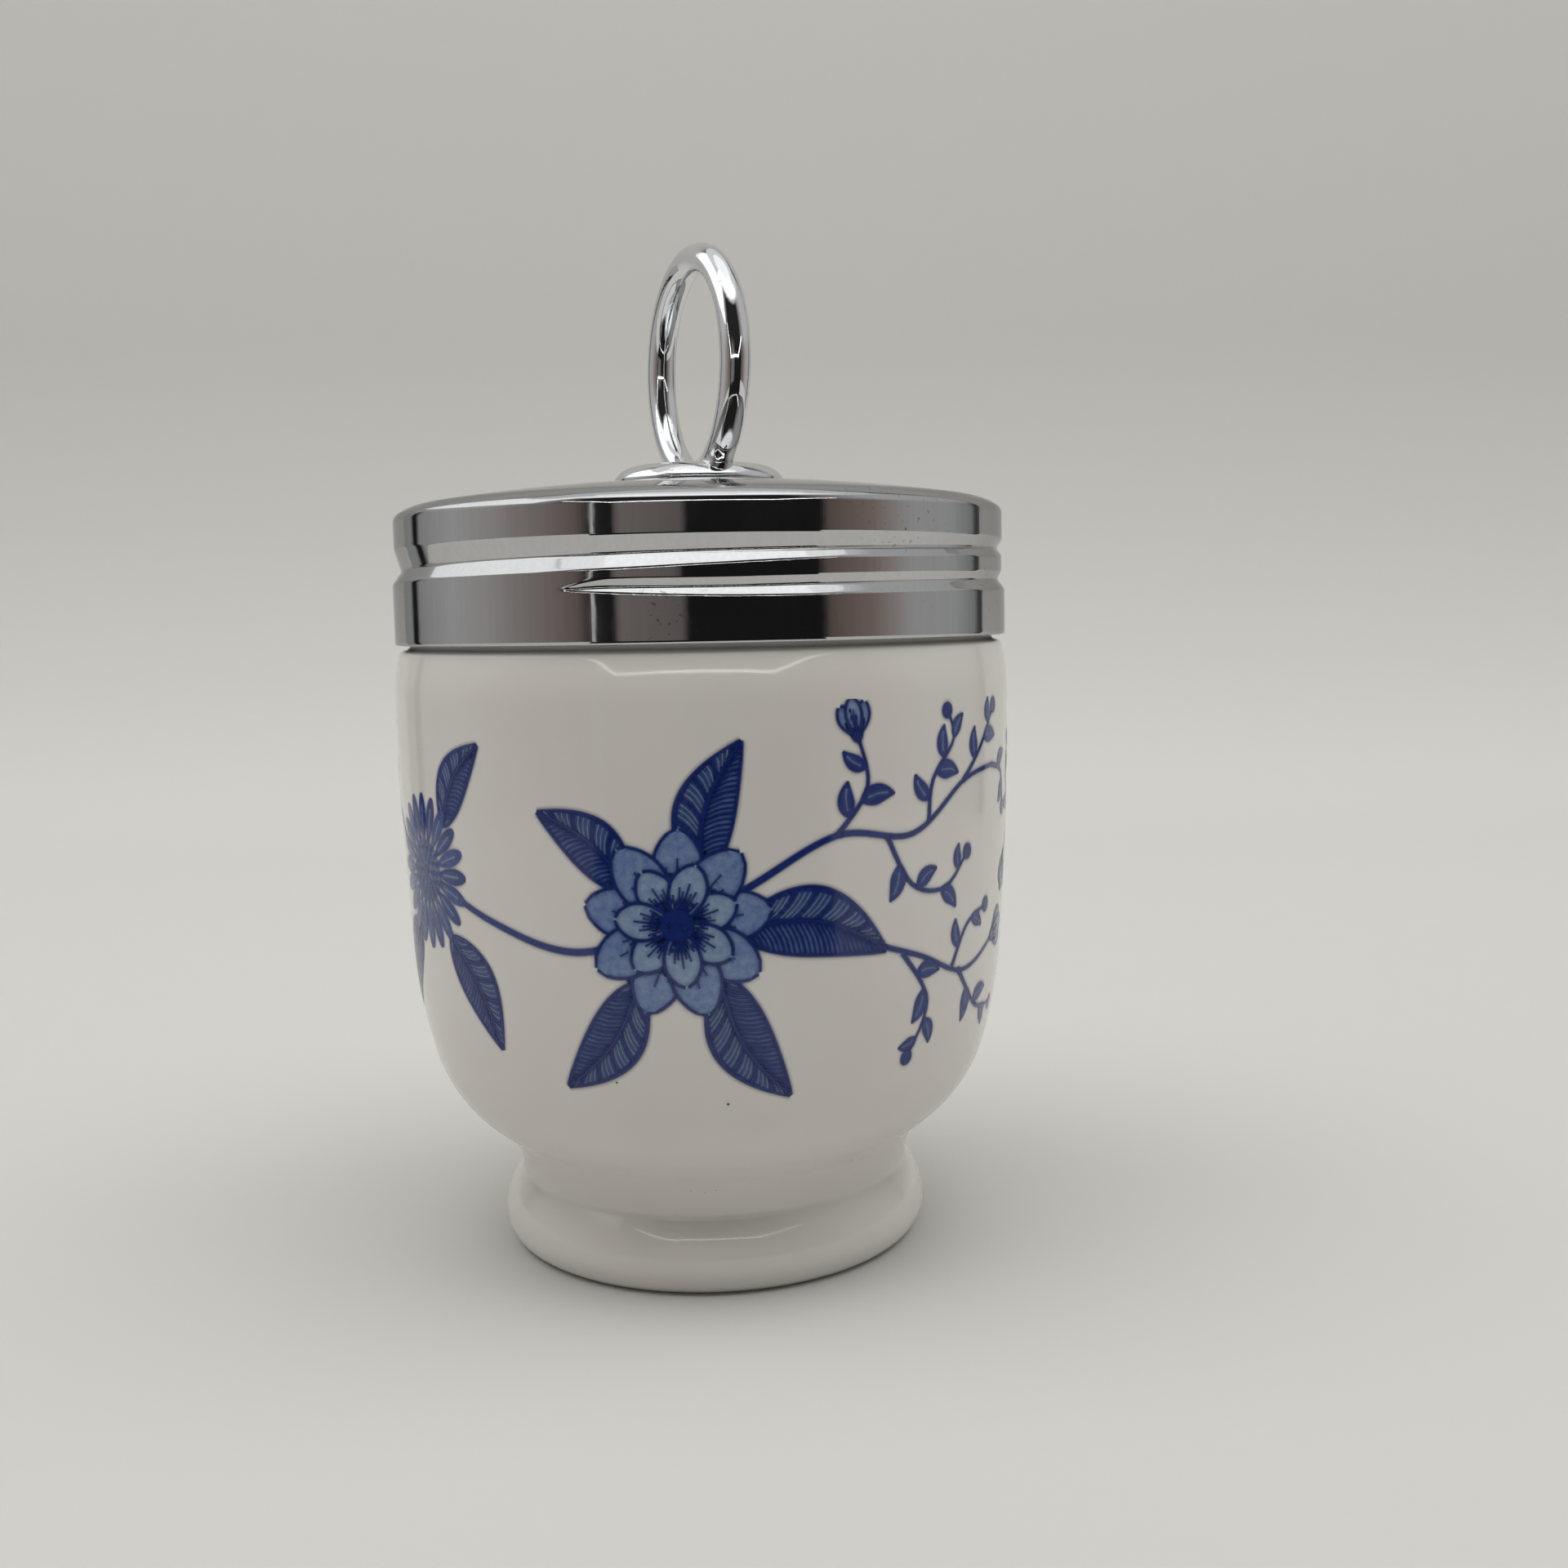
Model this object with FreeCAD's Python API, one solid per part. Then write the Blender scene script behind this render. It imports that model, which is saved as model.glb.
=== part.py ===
"""Egg coddler: a porcelain cup with a screw-down metal lid and a lifting ring.

The axis of the cup is Z, and the foot stands on Z = 0 with its centre at the origin.
Lengths are in millimetres. Angles are in degrees, anticlockwise seen from above, from +X.
"""
import FreeCAD, Part
import math
import os

V = FreeCAD.Vector

# Cup, as arcs that run into each other, from its widest circle down to the table
bowl_r = 30.2               # widest circle
side_r = 375.0              # gentle curve of the side
side_turn = 3.8
flank_r = 51.4              # rounder curve below it
flank_turn = 10.9
turn_r = 14.5               # turn under the bowl
turn_turn = 40.0
waist_r = 6.3               # hollow between the bowl and the foot
waist_turn = 50.0
waist_low_r = 1.0           # tighter lower end of that hollow
foot_slope = 42.0           # steepest slope of the foot's top
foot_top_r = 6.2            # rounding over to the foot's widest circle
foot_side_r = 2.8           # full curve from there down
foot_side_turn = 58.0
foot_edge_r = 1.0           # edge at the table

# Cup, inside and underneath
bowl_wall = 3.2
floor_r = 28.0              # curve of the bowl's floor
foot_land = 1.5             # width of the flat ring that stands on the table
foot_bevel = 0.6
foot_recess = 3.6           # depth of the hollow underneath
recess_r = 2.0              # its inner corner

# Shoulder, neck and rim of the cup
shoulder_r = 14.0
shoulder_turn = 14.0
shoulder_edge_r = 0.85
shoulder_edge_turn = 68.0
neck_fillet_r = 0.4
neck_taper = 2.4            # height over which the neck narrows above the shoulder
neck_wall = 3.2
neck_bend_r = 6.0           # curves inside, from the bowl to the neck
rim_bevel = 0.9

# Lid, pressed from sheet
lid_inset = 0.2             # how far the skirt lies inside the widest circle of the cup
lid_wall = 0.5
lid_gap = 0.55              # between the shoulder and the lid's lower edge
rim_gap = 0.25              # between the rim and the crown
skirt_height = 5.6          # plain skirt below the thread
thread_height = 3.5         # from the plain skirt to the band
thread_inset = 0.3          # sheet between the turns, inside the skirt
band_inset = 0.25           # plain band above the thread, inside the skirt
band_height = 2.5
crown_edge_r = 0.9          # rounding from the band to the crown, in two curves
crown_edge_turn = 55.0
crown_curve_r = 4.5
crown_curve_turn = 25.8
dome_r = 171.0              # shallow crown
dome_turn = 6.3             # as far as the flat seat of the ring's flange

# Rolled thread of the lid, right-handed
groove_depth = 0.9          # from the skirt to the root
groove_root = 0.3           # width of the root
groove_lower_flank = 0.6    # steep, it faces up
groove_upper_flank = 1.2    # gentle, it faces down
groove_crest = 0.9          # left between one turn and the next
groove_rise = 4.5           # centre of the groove at the front, above the lid's lower edge
front_angle = -92.0
groove_start = -118.0
groove_sweep = 486.0
run_in = 24.0               # angle over which the groove deepens, at each end

# Ridge round the neck, between the turns of the lid
neck_play = 0.4             # between the neck and the inside of the lid's thread
ridge_play = 0.25           # between the ridge and the inside of the lid
ridge_width = 1.4
ridge_crest = 0.3
ridge_start = -150.0
ridge_sweep = 380.0

# Lifting ring with its flange and shank, and the washer that holds it
ring_wire = 2.9
ring_r = 10.4               # centre line of the wire
ring_turn = 20.5            # of the ring's plane, away from the Y axis
flange_r = 8.4
flange_height = 1.9
flange_belly = 1.0          # height of the flange's widest circle
flange_undercut = 0.55
flange_lip = 1.0            # width of the rounding at the flange's top
flange_dish = 0.35          # sink of the flange's top at its centre
shank_r = 2.0
shank_play = 0.06           # all round the shank
washer_r = 5.0
washer_wall = 0.8
head_r = 3.2                # peened end of the shank
head_height = 0.8

# How closely curves are followed by short cones, and the wire by flats
outer_chord = 0.16
inner_chord = 0.30
wire_sides = 12
section_step = 12.0         # angle between the sections of a thread

# Sizes that follow from those above
lid_r = bowl_r - lid_inset
groove_root_r = lid_r - groove_depth
pitch = groove_root + groove_lower_flank + groove_upper_flank + groove_crest
neck_r = groove_root_r - lid_wall - neck_play
neck_bore_r = neck_r - neck_wall
ridge_r = lid_r - thread_inset - lid_wall - ridge_play


def along(start, heading, arcs, chord):
    """Points on arcs that run into each other, in the plane of (radius, height).

    The first arc leaves start at the heading, in degrees from +radius towards +height. Each is
    (radius, turn), with a turn to the left positive. The points lie so close together that the
    lines between them stay within chord of the arc.
    """
    points = [start]
    for radius, turn in arcs:
        side = math.copysign(1, turn)
        h = math.radians(heading)
        r, z = points[-1]
        centre = (r - side * radius * math.sin(h), z + side * radius * math.cos(h))
        widest_step = 2 * math.acos(max(0.5, 1 - chord / radius))
        steps = int(math.ceil(abs(math.radians(turn)) / widest_step))
        for i in range(1, steps + 1):
            a = h + math.radians(turn) * i / steps
            points.append((centre[0] + side * radius * math.sin(a), centre[1] - side * radius * math.cos(a)))
        heading += turn
    return points


def turned(points):
    """Solid of revolution about Z, from the corners of its outline as (radius, height)."""
    corners = [V(r, 0, z) for r, z in points]
    solid = Part.Face(Part.makePolygon(corners + corners[:1])).revolve(V(0, 0, 0), V(0, 0, 1), 360)
    return solid if solid.Volume > 0 else solid.reversed()


def upright(radius, z_low, z_high):
    return Part.makeCylinder(radius, z_high - z_low, V(0, 0, z_low))


def outside_of_bowl(z_top):
    """From the widest circle at z_top down to the flat ring that stands on the table."""
    upright_turn = side_turn + flank_turn + turn_turn
    level_turn = 90.0
    return along((bowl_r, z_top), -90, [
        (side_r, -side_turn),
        (flank_r, -flank_turn),
        (turn_r, -turn_turn),
        (waist_r, waist_turn),
        (waist_low_r, upright_turn - waist_turn + foot_slope),
        (foot_top_r, -foot_slope),
        (foot_side_r, -foot_side_turn),
        (foot_edge_r, foot_side_turn - level_turn),
    ], outer_chord)


def shoulder(z_top):
    """From the widest circle up to the foot of the neck."""
    neck_lean = 10.0
    upright_turn = neck_lean - shoulder_turn - shoulder_edge_turn
    return along((bowl_r, z_top), 90, [
        (shoulder_r, shoulder_turn),
        (shoulder_edge_r, shoulder_edge_turn),
        (neck_fillet_r, upright_turn),
    ], outer_chord)


widest_z = -outside_of_bowl(0.0)[-1][1]
shoulder_z = shoulder(widest_z)[-1][1]

# Heights of the lid, from its lower edge up
lid_z = shoulder_z + lid_gap
thread_z = lid_z + skirt_height
band_z = thread_z + thread_height
crown_z = band_z + band_height


def crown(sink):
    """From the band to the seat of the flange, on the outside or a sheet's thickness inside."""
    return along((lid_r - band_inset - sink, crown_z), 90, [
        (crown_edge_r - sink, crown_edge_turn),
        (crown_curve_r - sink, crown_curve_turn),
        (dome_r - sink, dome_turn),
    ], outer_chord)


def crown_height(sink, radius):
    """Height of the crown at a distance from the axis: level inside the end of its dome."""
    points = crown(sink)
    for (r_out, z_out), (r_in, z_in) in zip(points, points[1:]):
        if r_in <= radius < r_out:
            return z_out + (z_in - z_out) * (r_out - radius) / (r_out - r_in)
    return points[-1][1]


seat_z = crown(0.0)[-1][1]
seat_underside_z = min(seat_z - lid_wall, crown_height(lid_wall, washer_r))
washer_z = seat_underside_z - washer_wall
ring_z = seat_z + ring_r + ring_wire / 2
dome_start_z = along((lid_r - band_inset - lid_wall, crown_z), 90, [
    (crown_edge_r - lid_wall, crown_edge_turn),
    (crown_curve_r - lid_wall, crown_curve_turn),
], outer_chord)[-1][1]
rim_z = dome_start_z - rim_gap


def helical(section, start, sweep):
    """Solid through sections in planes of the axis, each a closed outline of (radius, height)."""
    steps = int(math.ceil(sweep / section_step))
    wires = []
    for i in range(steps + 1):
        angle = start + sweep * i / steps
        a = math.radians(angle)
        points = [V(r * math.cos(a), r * math.sin(a), z) for r, z in section(angle)]
        wires.append(Part.makePolygon(points + points[:1]))
    return Part.makeLoft(wires, True, False)


def groove_z(angle):
    """Height of the middle of the groove's root, which rises with the angle."""
    return lid_z + groove_rise + pitch * (angle - front_angle) / 360


def depth_share(angle, start, sweep):
    """Share of its full depth that a thread has at an angle: it runs in and out at its ends."""
    t = max(0.0, min(1.0, min(angle - start, start + sweep - angle) / run_in))
    return t * t * (3 - 2 * t)


def width_share(share):
    """A thread narrows as it gets shallower, almost to a point."""
    return 0.15 + 0.85 * share


def groove(sink):
    """What the thread takes out of a round cap: sink is 0 outside and the sheet's wall inside."""
    clear = 0.05
    skirt = lid_r - sink + clear
    crest = lid_r - thread_inset - sink + 2.4 * clear
    far = lid_r + 1.5

    def section(angle):
        share = depth_share(angle, groove_start, groove_sweep)
        width = width_share(share)
        root = skirt - share * (groove_depth + clear)
        low = groove_z(angle) - width * groove_root / 2
        high = groove_z(angle) + width * groove_root / 2
        bottom = low - width * groove_lower_flank
        top = high + width * groove_upper_flank
        return [
            (far, bottom), (skirt, bottom), (root, low), (root, high), (max(crest, root), top), (far, top),
        ]

    return helical(section, groove_start, groove_sweep)


def neck_ridge():
    """Thread of the porcelain, which lies between the turns of the lid's thread."""
    sunk = 0.05
    between = (groove_root + groove_crest) / 2 + groove_upper_flank

    def section(angle):
        z = groove_z(angle) + between
        foot = neck_r - sunk
        crest = foot + depth_share(angle, ridge_start, ridge_sweep) * (ridge_r - foot)
        low = z - ridge_width / 2
        high = z + ridge_width / 2
        return [
            (neck_r - 1, low), (foot, low), (crest, z - ridge_crest / 2),
            (crest, z + ridge_crest / 2), (foot, high), (neck_r - 1, high),
        ]

    return helical(section, ridge_start, ridge_sweep)


def cup_body():
    """The cup filled up, from the table to the rim."""
    side = outside_of_bowl(widest_z)[::-1] + shoulder(widest_z)[1:]
    neck = [(neck_r, shoulder_z + neck_taper), (neck_r, rim_z - rim_bevel), (neck_r - rim_bevel, rim_z)]
    return turned(side + neck + [(0, rim_z), (0, 0)])


def cup_hollow():
    """The space inside the cup, up past its rim: its wall turns in until the floor comes level."""
    inset = bowl_wall
    start = (bowl_r - inset, widest_z)
    side = [(side_r - inset, -side_turn), (flank_r - inset, -flank_turn)]
    turn_start = along(start, -90, side, inner_chord)[-1][0]
    turn_centre = turn_start - (turn_r - inset) * math.cos(math.radians(side_turn + flank_turn))
    level = math.degrees(math.acos(min(1.0, turn_centre / (floor_r - turn_r + inset))))
    turn = max(turn_turn, level - side_turn - flank_turn)
    floor = [(turn_r - inset, -turn), (floor_r, turn + flank_turn + side_turn - 90)]
    below = along(start, -90, side + floor, inner_chord)
    bend = math.degrees(math.acos(1 - (start[0] - neck_bore_r) / (2 * neck_bend_r)))
    above = along(start, 90, [(neck_bend_r, bend), (neck_bend_r, -bend)], inner_chord)
    rim = [(neck_bore_r, rim_z - rim_bevel / 2), (neck_bore_r + rim_bevel, rim_z + rim_bevel / 2)]
    return turned(below[::-1] + above[1:] + rim + [(0, rim_z + rim_bevel / 2), (0, below[-1][1])])


def foot_hollow():
    """The hollow underneath, inside the ring that the cup stands on."""
    contact = outside_of_bowl(widest_z)[-1][0]
    edge = contact - foot_land
    wall = edge - foot_bevel
    corner = along((wall, foot_recess - recess_r), 90, [(recess_r, 90)], inner_chord)
    return turned(corner + [(0, foot_recess), (0, -1), (edge + 1, -1), (wall, foot_bevel)])


def cup():
    return cup_body().cut(cup_hollow()).cut(foot_hollow()).fuse(neck_ridge()).removeSplitter()


def cap(sink, below):
    """The lid filled up and without its thread, or the space inside it."""
    skirt = lid_r - sink
    sheet = skirt - thread_inset
    band = skirt - band_inset
    low = lid_z - below
    arcs = crown(sink)
    side = [
        (skirt, low), (skirt, thread_z - thread_inset),
        (sheet, thread_z), (sheet, band_z - thread_inset), (band, band_z),
    ]
    return turned([(0, low)] + side + arcs + [(0, arcs[-1][1])])


def lid():
    outside = cap(0.0, 0.0).cut(groove(0.0))
    inside = cap(lid_wall, 1.0).cut(groove(lid_wall))
    return outside.cut(inside).cut(upright(shank_r + shank_play, washer_z, seat_z + 1))


def flange():
    """Round foot of the ring, with a full rounded edge and a slightly sunk top."""
    lip = flange_r - flange_lip
    top_z = seat_z + flange_height
    edge = []
    for degrees in range(-75, 91, 33):
        a = math.radians(degrees)
        width = flange_undercut if a < 0 else flange_lip
        height = flange_belly if a < 0 else flange_height - flange_belly
        edge.append((flange_r - width * (1 - math.cos(a)), seat_z + flange_belly + height * math.sin(a)))
    edge[0] = (edge[0][0], seat_z)
    return turned([(0, seat_z)] + edge + [(lip * 0.75, top_z - flange_dish), (0, top_z - flange_dish)])


def ring():
    """The ring itself, upright on the flange, with its plane turned away from the Y axis."""
    corners = []
    for i in range(wire_sides):
        a = 2 * math.pi * (i + 0.5) / wire_sides
        corners.append(V(ring_wire / 2 * math.cos(a), 0, ring_r + ring_wire / 2 * math.sin(a)))
    body = Part.Face(Part.makePolygon(corners + corners[:1])).revolve(V(0, 0, 0), V(1, 0, 0), 360)
    body.rotate(V(0, 0, 0), V(0, 0, 1), ring_turn)
    body.translate(V(0, 0, ring_z))
    return body


def shank():
    """Rivet end below the flange, through the crown and the washer, with its peened head."""
    head_z = washer_z - head_height
    top_z = seat_z + flange_height / 2
    head = [
        (0, head_z), (head_r * 0.6, head_z),
        (head_r * 0.9, head_z + head_height * 0.35), (head_r, washer_z),
    ]
    return turned(head + [(shank_r, washer_z), (shank_r, top_z), (0, top_z)])


def lifting_ring():
    above_seat = upright(ring_r * 3, seat_z, ring_z + ring_r * 2)
    return flange().fuse([ring().common(above_seat), shank()]).removeSplitter()


def crown_washer():
    hole = upright(shank_r + shank_play, washer_z - 1, seat_underside_z + 1)
    return upright(washer_r, washer_z, seat_underside_z).cut(hole)


parts = {"cup": cup(), "lid": lid(), "lifting_ring": lifting_ring(), "crown_washer": crown_washer()}
os.makedirs("parts", exist_ok=True)
for name, shape in parts.items():
    shape.exportStep("parts/%s.step" % name)
    box = shape.BoundBox
    print(name, len(shape.Solids), "solid", round(shape.Volume), "mm3", "valid", shape.isValid(),
          "Z %.2f to %.2f" % (box.ZMin, box.ZMax), "X %.2f to %.2f" % (box.XMin, box.XMax))
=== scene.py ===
import math

import bmesh
import bpy
import numpy as np
from mathutils import Matrix, Vector


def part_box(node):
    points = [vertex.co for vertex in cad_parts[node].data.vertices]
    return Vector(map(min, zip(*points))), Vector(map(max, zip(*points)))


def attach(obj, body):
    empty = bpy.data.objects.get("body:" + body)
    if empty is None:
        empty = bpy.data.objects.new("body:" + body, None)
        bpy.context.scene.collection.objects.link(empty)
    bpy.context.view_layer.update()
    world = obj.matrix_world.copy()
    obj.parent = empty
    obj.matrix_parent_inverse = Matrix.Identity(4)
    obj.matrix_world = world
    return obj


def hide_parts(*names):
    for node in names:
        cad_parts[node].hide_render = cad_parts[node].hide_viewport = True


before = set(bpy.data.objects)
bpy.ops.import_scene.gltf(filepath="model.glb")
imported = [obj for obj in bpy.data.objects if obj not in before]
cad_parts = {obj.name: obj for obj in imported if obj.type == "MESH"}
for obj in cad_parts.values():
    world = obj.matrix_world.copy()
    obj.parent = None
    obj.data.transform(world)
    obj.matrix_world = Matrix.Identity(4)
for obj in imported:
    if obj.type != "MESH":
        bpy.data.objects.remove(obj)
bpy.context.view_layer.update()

# The object's own lengths are in millimetres and angles in degrees until a mesh is made.
# The camera, the stage and the lights are in metres.
MM = 0.001
MOST_TURN = 8                   # between two points of an arc


# ---------------------------------------------------------------- outlines

def along(start, heading, arcs, step):
    """Rows of (radius, height, heading) on tangent arcs, each arc a (radius, turn)."""
    rows = [(start[0], start[1], heading)]
    for radius, turn in arcs:
        reach = math.copysign(radius, turn)
        h = math.radians(rows[-1][2])
        centre = (rows[-1][0] - reach * math.sin(h), rows[-1][1] + reach * math.cos(h))
        steps = max(2, int(math.ceil(radius * abs(math.radians(turn)) / step)),
                    int(math.ceil(abs(turn) / MOST_TURN)))
        for i in range(1, steps + 1):
            a = h + math.radians(turn) * i / steps
            rows.append((centre[0] + reach * math.sin(a), centre[1] - reach * math.cos(a),
                         math.degrees(a)))
    return rows


def flat(rows):
    """The same rows without their headings."""
    return [(r, z) for r, z, _ in rows]


def filled(points, step):
    """Points on straight runs between corners, no further apart than step."""
    out = [points[0]]
    for a, b in zip(points, points[1:]):
        n = max(1, int(math.ceil(math.hypot(b[0] - a[0], b[1] - a[1]) / step)))
        for i in range(1, n + 1):
            out.append((a[0] + (b[0] - a[0]) * i / n, a[1] + (b[1] - a[1]) * i / n))
    return out


def smooth_corners(points, radius, step):
    """Straight runs with their corners rounded, the curve starting at most radius before each."""
    out = [points[0]]
    for a, b, c in zip(points, points[1:], points[2:]):
        p, q, r = Vector(a), Vector(b), Vector(c)
        u, v = (p - q), (r - q)
        cut = min(radius, u.length / 2.2, v.length / 2.2)
        start, end = q + u.normalized() * cut, q + v.normalized() * cut
        for i in range(7):
            t = i / 6
            out.append(tuple(start * (1 - t) ** 2 + q * 2 * t * (1 - t) + end * t ** 2))
    out.append(points[-1])
    return filled(out, step)


def grid_mesh(name, points):
    """Mesh from an array of points [row, column, xyz] in millimetres, columns running round."""
    rows, cols = points.shape[:2]
    faces = []
    for i in range(rows - 1):
        for j in range(cols):
            k = (j + 1) % cols
            faces.append((i * cols + j, i * cols + k, (i + 1) * cols + k, (i + 1) * cols + j))
    mesh = bpy.data.meshes.new(name)
    mesh.from_pydata([tuple(p) for p in points.reshape(-1, 3) * MM], [], faces)
    mesh.update()
    return mesh


def turned_round(r, z, angles):
    """Array of points [row, angle, xyz] from radii [row, angle or 1] and heights [row, 1]."""
    a = np.radians(angles)[None, :]
    return np.stack([r * np.cos(a), r * np.sin(a), np.repeat(z, len(angles), 1)], -1)


def revolved(name, outline, segments):
    """Outline of (radius, height) turned about Z."""
    o = np.array(outline)
    angles = np.arange(segments) * 360.0 / segments
    return grid_mesh(name, turned_round(o[:, 0:1], o[:, 1:2], angles))


def tidy_mesh(mesh):
    """Joins points that lie together, drops faces without area and turns all faces outward."""
    bm = bmesh.new()
    bm.from_mesh(mesh)
    bmesh.ops.remove_doubles(bm, verts=bm.verts, dist=0.000002)
    bmesh.ops.dissolve_degenerate(bm, edges=bm.edges, dist=0.0000005)
    bmesh.ops.recalc_face_normals(bm, faces=bm.faces)
    bm.to_mesh(mesh)
    bm.free()
    for p in mesh.polygons:
        p.use_smooth = True
    mesh.update()
    return mesh


def linked(name, data):
    obj = bpy.data.objects.new(name, data)
    bpy.context.scene.collection.objects.link(obj)
    return obj


def piece(name, mesh, body, slot, material, *nodes):
    """Adds a visible piece that rides on a body and stands for the CAD nodes named last."""
    obj = linked(name, mesh)
    obj.data.materials.append(material)
    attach(obj, body)
    if nodes:
        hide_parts(*nodes)


# ---------------------------------------------------------------- node helper

class Nodes:
    """Small helper for building a material's node tree."""

    def __init__(self, name):
        self.material = bpy.data.materials.new(name)
        self.material.use_nodes = True
        self.tree = self.material.node_tree
        self.tree.nodes.clear()
        self.out = self.add("ShaderNodeOutputMaterial")
        self.shader = self.add("ShaderNodeBsdfPrincipled")
        self.link(self.shader, "BSDF", self.out, "Surface")

    def add(self, kind, **values):
        node = self.tree.nodes.new(kind)
        for key, value in values.items():
            setattr(node, key, value)
        return node

    def link(self, a, out, b, into):
        self.tree.links.new(a.outputs[out], b.inputs[into])

    def set(self, node, **values):
        for key, value in values.items():
            node.inputs[key.replace("_", " ")].default_value = value
        return node

    def feed(self, value, into):
        """Leads a value into the shader."""
        self.tree.links.new(value, self.shader.inputs[into])

    def take(self, value, socket):
        """Gives a socket a number, a colour or another node's output."""
        if isinstance(value, (int, float)):
            socket.default_value = value
        elif isinstance(value, tuple):
            socket.default_value = value + (1,)
        else:
            self.tree.links.new(value, socket)

    def math(self, operation, a, b):
        node = self.add("ShaderNodeMath", operation=operation)
        self.take(a, node.inputs[0])
        self.take(b, node.inputs[1])
        return node.outputs[0]

    def noise(self, scale, detail, rough, vector):
        node = self.set(self.add("ShaderNodeTexNoise"), Scale=scale, Detail=detail, Roughness=rough)
        self.take(vector, node.inputs["Vector"])
        return node.outputs["Fac"]

    def ramp(self, value, stops):
        """Colour that follows a value through stops of (position, colour)."""
        node = self.add("ShaderNodeValToRGB")
        ramp = node.color_ramp
        while len(ramp.elements) < len(stops):
            ramp.elements.new(0.5)
        for e, (pos, colour) in zip(ramp.elements, stops):
            e.position = pos
            e.color = tuple(colour) + (1,)
        self.take(value, node.inputs["Fac"])
        return node.outputs["Color"]

    def grey_ramp(self, value, *stops):
        return self.ramp(value, [(pos, (level,) * 3) for pos, level in stops])

    def mix(self, share, a, b, blend="MIX"):
        node = self.add("ShaderNodeMix", data_type="RGBA", blend_type=blend)
        for x, socket in zip((share, a, b), (node.inputs[0], node.inputs[6], node.inputs[7])):
            self.take(x, socket)
        return node.outputs[2]

    def coords(self):
        return self.add("ShaderNodeTexCoord").outputs["Object"]

    def parts(self, vector):
        """The outputs X, Y and Z of a vector."""
        node = self.add("ShaderNodeSeparateXYZ")
        self.take(vector, node.inputs[0])
        return node.outputs

    def share(self, value, low, high, kind="LINEAR"):
        """Where a value lies between low and high, from 0 to 1."""
        node = self.add("ShaderNodeMapRange", interpolation_type=kind)
        self.set(node, From_Min=low, From_Max=high)
        self.take(value, node.inputs["Value"])
        return node.outputs[0]

    def bump(self, height, strength, distance):
        node = self.set(self.add("ShaderNodeBump"), Strength=strength, Distance=distance)
        self.take(height, node.inputs["Height"])
        self.feed(node.outputs["Normal"], "Normal")

    def shine(self, colour, strength=1.0):
        """Makes it a light, of one colour or of another node's."""
        self.tree.nodes.remove(self.shader)
        light = self.set(self.add("ShaderNodeEmission"), Strength=strength)
        self.take(colour, light.inputs["Color"])
        self.link(light, "Emission", self.out, "Surface")


# ---------------------------------------------------------------- materials

# Noise scales are per metre, and bump distances in metres

def glazed(m, co):
    """Gloss and slow waves of the glaze, the same over bare porcelain and over the print."""
    m.set(m.shader, Roughness=0.09, Metallic=0.0)
    m.bump(m.noise(140.0, 2.0, 0.4, co), 0.05, 0.0004)


def porcelain_material():
    m = Nodes("porcelain_glaze")
    co = m.coords()
    cloud = m.noise(60.0, 3.0, 0.5, co)
    colour = m.ramp(cloud, [(0.3, (0.735, 0.715, 0.680)), (0.7, (0.762, 0.745, 0.712))])
    m.feed(colour, "Base Color")
    m.set(m.shader, Specular_IOR_Level=0.5, IOR=1.5)
    glazed(m, co)
    return m.material


LID_TINT, RING_TINT, WASHER_TINT = (0.575, 0.58, 0.585), (0.78, 0.79, 0.80), (0.55, 0.54, 0.52)
PIT_TINT = (0.12, 0.11, 0.10)


def chrome_material(name, tint, streaks=0.0, worn=0.0, grazing=0.62, ripple=0.03):
    """Plated metal. streaks is how strongly upright brush lines show, worn how dark its pits are,
    grazing how much it mirrors at a low angle, and ripple how uneven it is."""
    m = Nodes(name)
    co = m.coords()
    cloud = m.noise(55.0, 4.0, 0.6, co)
    colour = m.ramp(cloud, [(0.35, tuple(0.95 * c for c in tint)), (0.65, tint)])
    upright = m.set(m.add("ShaderNodeMapping"), Scale=(1.0, 1.0, 0.03))
    m.take(co, upright.inputs["Vector"])
    brushed = m.noise(2600.0, 2.0, 0.5, upright.outputs["Vector"])
    if streaks:
        lines = m.grey_ramp(brushed, (0.40, 1 - streaks), (0.62, 1.0))
        colour = m.mix(1.0, colour, lines, "MULTIPLY")
    if worn:
        patch = m.grey_ramp(m.noise(70.0, 2.0, 0.5, co), (0.52, 0.0), (0.68, 1.0))
        pits = m.grey_ramp(m.noise(2400.0, 1.0, 0.4, co), (0.27, 1.0), (0.33, 0.0))
        pitted = m.math("MULTIPLY", m.math("MULTIPLY", patch, pits), worn)
        colour = m.mix(pitted, colour, PIT_TINT)
    m.feed(colour, "Base Color")
    m.set(m.shader, Metallic=1.0, Specular_Tint=(grazing, grazing, grazing, 1))
    m.feed(m.grey_ramp(m.noise(350.0, 3.0, 0.6, co), (0.35, 0.045), (0.75, 0.085)), "Roughness")
    uneven = m.math("ADD", m.noise(420.0, 2.0, 0.5, co), m.math("MULTIPLY", brushed, 0.25))
    m.bump(uneven, ripple, 0.0002)
    return m.material


porcelain = porcelain_material()
lid_chrome = chrome_material("lid_chrome_plate", LID_TINT, streaks=0.035, worn=0.6)
ring_chrome = chrome_material("ring_chrome_plate", RING_TINT, worn=0.3, grazing=0.9, ripple=0.11)


# ---------------------------------------------------------------- cup

BOWL_R = 30.2
BOWL_WALL = 3.2
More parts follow.
